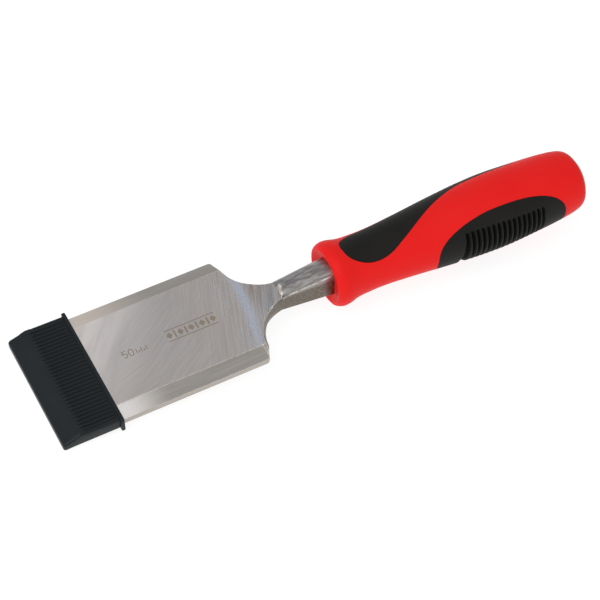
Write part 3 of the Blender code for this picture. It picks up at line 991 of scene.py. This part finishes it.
def build_cap(look):
    """Steel disc with a flat middle and a rounded rim."""
    rise = CAP_X1 - CAP_ROUND
    profile = [(CAP_X0, CAP_R - 0.6), (CAP_X0 + 0.2, CAP_R - 0.15), (CAP_X0 + 0.6, CAP_R)]
    profile.append((rise, CAP_R))
    for k in range(1, 13):
        a = math.radians(7.5 * k)
        radius = CAP_FLAT_R + (CAP_R - CAP_FLAT_R) * math.cos(a)
        profile.append((rise + CAP_ROUND * math.sin(a), radius))
    rings = [circle(x, radius, CAP_SEGMENTS) for x, radius in profile]
    return loft("cap_disc", rings, [look])


# ------------------------------------------------------------------ blade guard

def guard_ring(x, half, low, high, corner, rib):
    """Rounded rectangle; its upper side carries the lengthwise ribs when rib is above zero."""
    ring = []
    flat = half - corner
    arc = 8
    for i in range(25):
        ring.append((x, -flat + 2.0 * flat * i / 24.0, low))
    for centre_z, start in ((low + corner, 270.0), (high - corner, 0.0)):
        for i in range(1, arc + 1):
            a = math.radians(start + 90.0 * i / arc)
            ring.append((x, flat + corner * math.cos(a), centre_z + corner * math.sin(a)))
    pitch = 2.0 * flat / GUARD_RIBS
    for i in range(GUARD_RIBS):
        left = flat - i * pitch
        for k in range(1, 9):
            share = k / 9.0
            wave = 0.5 - 0.5 * math.cos(2.0 * math.pi * share)
            up = rib * (wave * (GUARD_RIB_H + GUARD_RIB_CUT) - GUARD_RIB_CUT)
            ring.append((x, left - share * pitch, high + up))
        if i < GUARD_RIBS - 1:
            ring.append((x, left - pitch, high - rib * GUARD_RIB_CUT))
    ring.append((x, -flat, high))
    for centre_z, start in ((high - corner, 90.0), (low + corner, 180.0)):
        last = arc if start == 90.0 else arc - 1
        for i in range(1, last + 1):
            a = math.radians(start + 90.0 * i / arc)
            ring.append((x, -flat + corner * math.cos(a), centre_z + corner * math.sin(a)))
    return ring


def build_guard(looks):
    """Guard from its closed front over the crest to the flange, then back in along its cavity."""
    top = GUARD_TOP_MOUTH
    crest = GUARD_TOP_CREST
    front = GUARD_TOP_FRONT
    back = MOUTH_X - FLANGE_T
    low = GUARD_LOW
    half = GUARD_HALF
    corner = GUARD_CORNER
    rings = [
        guard_ring(GUARD_X0, half - 0.75, low + 0.55, front - 0.5, 0.5, 0.0),
        guard_ring(GUARD_X0 + 0.07, half - 0.5, low + 0.3, front - 0.22, 0.7, 0.0),
        guard_ring(GUARD_X0 + 0.25, half - 0.28, low + 0.12, front - 0.02, 0.85, 0.0),
        guard_ring(GUARD_X0 + 0.55, half - 0.1, low + 0.03, front + 0.17, 0.95, 0.0),
        guard_ring(GUARD_X0 + 1.0, half, low, front + 0.38, 1.0, 0.0),
    ]
    slope = (crest - front) / (CREST_X - GUARD_X0)
    fall = (crest - top) / (back - CREST_X)
    reach = CREST_REACH
    for k in range(CREST_STEPS + 1):
        share = k / CREST_STEPS
        x = CREST_X - reach + 2.0 * reach * share
        before = crest - slope * (CREST_X - x)
        after = crest - fall * (x - CREST_X)
        height = before * (1.0 - share) + after * share - 0.18 * (slope + fall) * reach
        bow = 0.5 * (slope + fall) * reach * (1.0 - share) * share
        low_rib = ease(CREST_X - 0.6, CREST_X + 2.0, x)
        height = min(before, after, height + 2.0 * bow)
        rings.append(guard_ring(x, half, low, height, corner, low_rib))
    side = FLANGE_HALF - 0.1
    rim = FLANGE_HALF - 0.3
    low_rim = FLANGE_LOW + 0.3
    top_rim = FLANGE_TOP - 0.2
    rings.extend([
        guard_ring(back - 0.55, half, low, top, corner, 1.0),
        guard_ring(back - 0.3, half, low, top, corner, 0.6),
        guard_ring(back - 0.2, half, low, top, corner, 0.0),
        guard_ring(back - 0.05, half, low, top, corner, 0.0),
        guard_ring(back, half + 0.15, low - 0.12, top + 0.08, 1.1, 0.0),
        guard_ring(back, rim, low_rim, top_rim, 0.9, 0.0),
        guard_ring(back + 0.08, side, FLANGE_LOW + 0.1, FLANGE_TOP - 0.06, 0.9, 0.0),
        guard_ring(back + 0.3, FLANGE_HALF, FLANGE_LOW, FLANGE_TOP, 0.9, 0.0),
        guard_ring(MOUTH_X - 0.3, FLANGE_HALF, FLANGE_LOW, FLANGE_TOP, 0.9, 0.0),
        guard_ring(MOUTH_X - 0.08, side, FLANGE_LOW + 0.1, FLANGE_TOP - 0.06, 0.9, 0.0),
        guard_ring(MOUTH_X, rim, low_rim, top_rim, 0.9, 0.0),
        guard_ring(MOUTH_X, CAVITY_HALF + 0.1, CAVITY_LOW - 0.1, CAVITY_TOP + 0.1, 0.6, 0.0),
        guard_ring(MOUTH_X - 0.15, CAVITY_HALF, CAVITY_LOW, CAVITY_TOP, 0.5, 0.0),
        guard_ring(CREST_X + 1.0, CAVITY_HALF, CAVITY_LOW, CAVITY_TOP, 0.5, 0.0),
        guard_ring(CAVITY_X0, CAVITY_HALF, CAVITY_LOW, CAVITY_FRONT_TOP, 0.4, 0.0),
    ])

    # faces down in the hollows take the painted shade
    def in_hollow(centre, _normal):
        if not CREST_X + 1.0 < centre.x < back - 0.3 or abs(centre.y) > half - corner:
            return 0
        base = crest - fall * (centre.x - CREST_X)
        return 1 if base - 0.3 < centre.z < base - 0.06 else 0

    return loft("guard_cover", rings, looks, sharp=40.0, choose=in_hollow)


# ------------------------------------------------------------------ surroundings

# degrees and tool millimetres; VIEW_WIDTH is how much of the tool the picture's width takes in
CAMERA_TURN = 27.4914
CAMERA_RISE = 51.7267
CAMERA_DISTANCE = 698.75
CAMERA_AIM_X = 81.2
CAMERA_SIDE = 20.288
CAMERA_UP = 4.347
VIEW_WIDTH = 221.0873
SENSOR_MM = 36.0
FLOOR_GLOW = 0.86
FLOOR_HALF = 6.0
FLOOR_DROP = 0.0002
WORLD_GLOW = 0.62


def build_camera():
    """Camera placed in the tool frame: turned towards the tip side and looking down."""
    turn = math.radians(CAMERA_TURN)
    rise = math.radians(CAMERA_RISE)
    flat = math.cos(rise)
    back = Vector((-math.sin(turn) * flat, -math.cos(turn) * flat, math.sin(rise)))
    right = (-back).cross(Vector((0.0, 0.0, 1.0))).normalized()
    up = right.cross(-back).normalized()
    place = Vector((CAMERA_AIM_X, 0.0, 0.0)) + back * CAMERA_DISTANCE
    place += right * CAMERA_SIDE + up * CAMERA_UP
    frame_matrix = Matrix((right, up, back)).transposed().to_4x4()
    data = bpy.data.cameras.new("camera")
    data.sensor_width = SENSOR_MM
    data.lens = SENSOR_MM * CAMERA_DISTANCE / VIEW_WIDTH
    data.clip_start = 0.01
    data.clip_end = 50.0
    made = bpy.data.objects.new("camera", data)
    bpy.context.scene.collection.objects.link(made)
    made.matrix_world = PLACE @ Matrix.Translation(place * MM) @ frame_matrix
    bpy.context.scene.camera = made


def area_light(name, toward, distance, size, power, color, target):
    """Soft area light seen in a direction from a point of the tool; its long side lies along Y."""
    data = bpy.data.lights.new(name, "AREA")
    data.shape = "RECTANGLE"
    data.size = size[0]
    data.size_y = size[1]
    data.energy = power
    data.color = color
    made = bpy.data.objects.new(name, data)
    bpy.context.scene.collection.objects.link(made)
    back = Vector(toward).normalized()
    along = Vector((0.0, 1.0, 0.0))
    long_side = (along - back * back.dot(along)).normalized()
    turn = Matrix((long_side, back.cross(long_side), back)).transposed().to_4x4()
    made.matrix_world = PLACE @ Matrix.Translation(Vector(target) * MM + back * distance) @ turn


def build_stage():
    """Pale floor, pale surroundings, a soft key light and a narrow blue window above the sweep."""
    look = Look("pale_floor", (0.22, 0.22, 0.22), 0.9, specular=0.0)
    look.shader.inputs["Emission Color"].default_value = (1.0, 1.0, 1.0, 1.0)
    look.shader.inputs["Emission Strength"].default_value = FLOOR_GLOW
    mesh = bpy.data.meshes.new("floor")
    bm = bmesh.new()
    bmesh.ops.create_grid(bm, x_segments=4, y_segments=4, size=FLOOR_HALF)
    bm.to_mesh(mesh)
    bm.free()
    mesh.materials.append(look.material)
    floor = bpy.data.objects.new("floor", mesh)
    bpy.context.scene.collection.objects.link(floor)
    floor.location = (0.0, 0.0, -FLOOR_DROP)
    world = bpy.data.worlds.new("studio")
    bpy.context.scene.world = world
    world.use_nodes = True
    background = world.node_tree.nodes["Background"]
    background.inputs["Color"].default_value = (0.985, 0.99, 1.0, 1.0)
    background.inputs["Strength"].default_value = WORLD_GLOW
    area_light("key", (-0.5, -0.3, 0.81), 2.0, (1.6, 1.6), 20.0, (1.0, 0.98, 0.95),
               (100.0, 0.0, 0.0))
    area_light("window", (0.16, 0.559, 0.8135), 0.7, (0.16, 0.022), 0.034, (0.10, 0.42, 1.0),
               (81.8, 0.0, 4.0))
    bpy.context.scene.view_settings.view_transform = "Standard"


# ------------------------------------------------------------------ assembly

def main():
    """Build every piece, lay it on the table, tie it to its body and hide the CAD node it replaces.
    """
    red = red_plastic()
    rubber = soft_rubber()
    groove = groove_shade_rubber()
    mark = etched()
    pads = [rubber, groove]
    ends = (SWEEP_UPPER[0][0], SWEEP_UPPER[-1][0])
    pieces = [
        (build_blade(), "tool", "blade", "ground_steel"),
        (build_size_mark(mark), "tool", None, "ground_steel"),
        (build_plain_mark(mark), "tool", None, "ground_steel"),
        (build_handle(red), "tool", "handle_body", "red_plastic"),
        (build_grip("grip_pad_near", NEAR_X0, NEAR_X1, near_limits, NEAR_MID, 44, pads),
         "tool", "grip_near", "soft_grip"),
        (build_grip("grip_pad_sweep", ends[0], ends[1], sweep_limits, FAR_MID, 52, pads),
         "tool", "grip_sweep", "soft_grip"),
        (build_cap(cap_steel()), "tool", "strike_cap", "cap_steel"),
        (build_guard([guard_plastic(), guard_groove_shade()]),
         "guard", "blade_guard", "guard_plastic"),
    ]
    for piece, body, node, slot in pieces:
        piece.data.transform(PLACE)
        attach(piece, body)
        if node:
            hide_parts(node)
    build_camera()
    build_stage()


main()
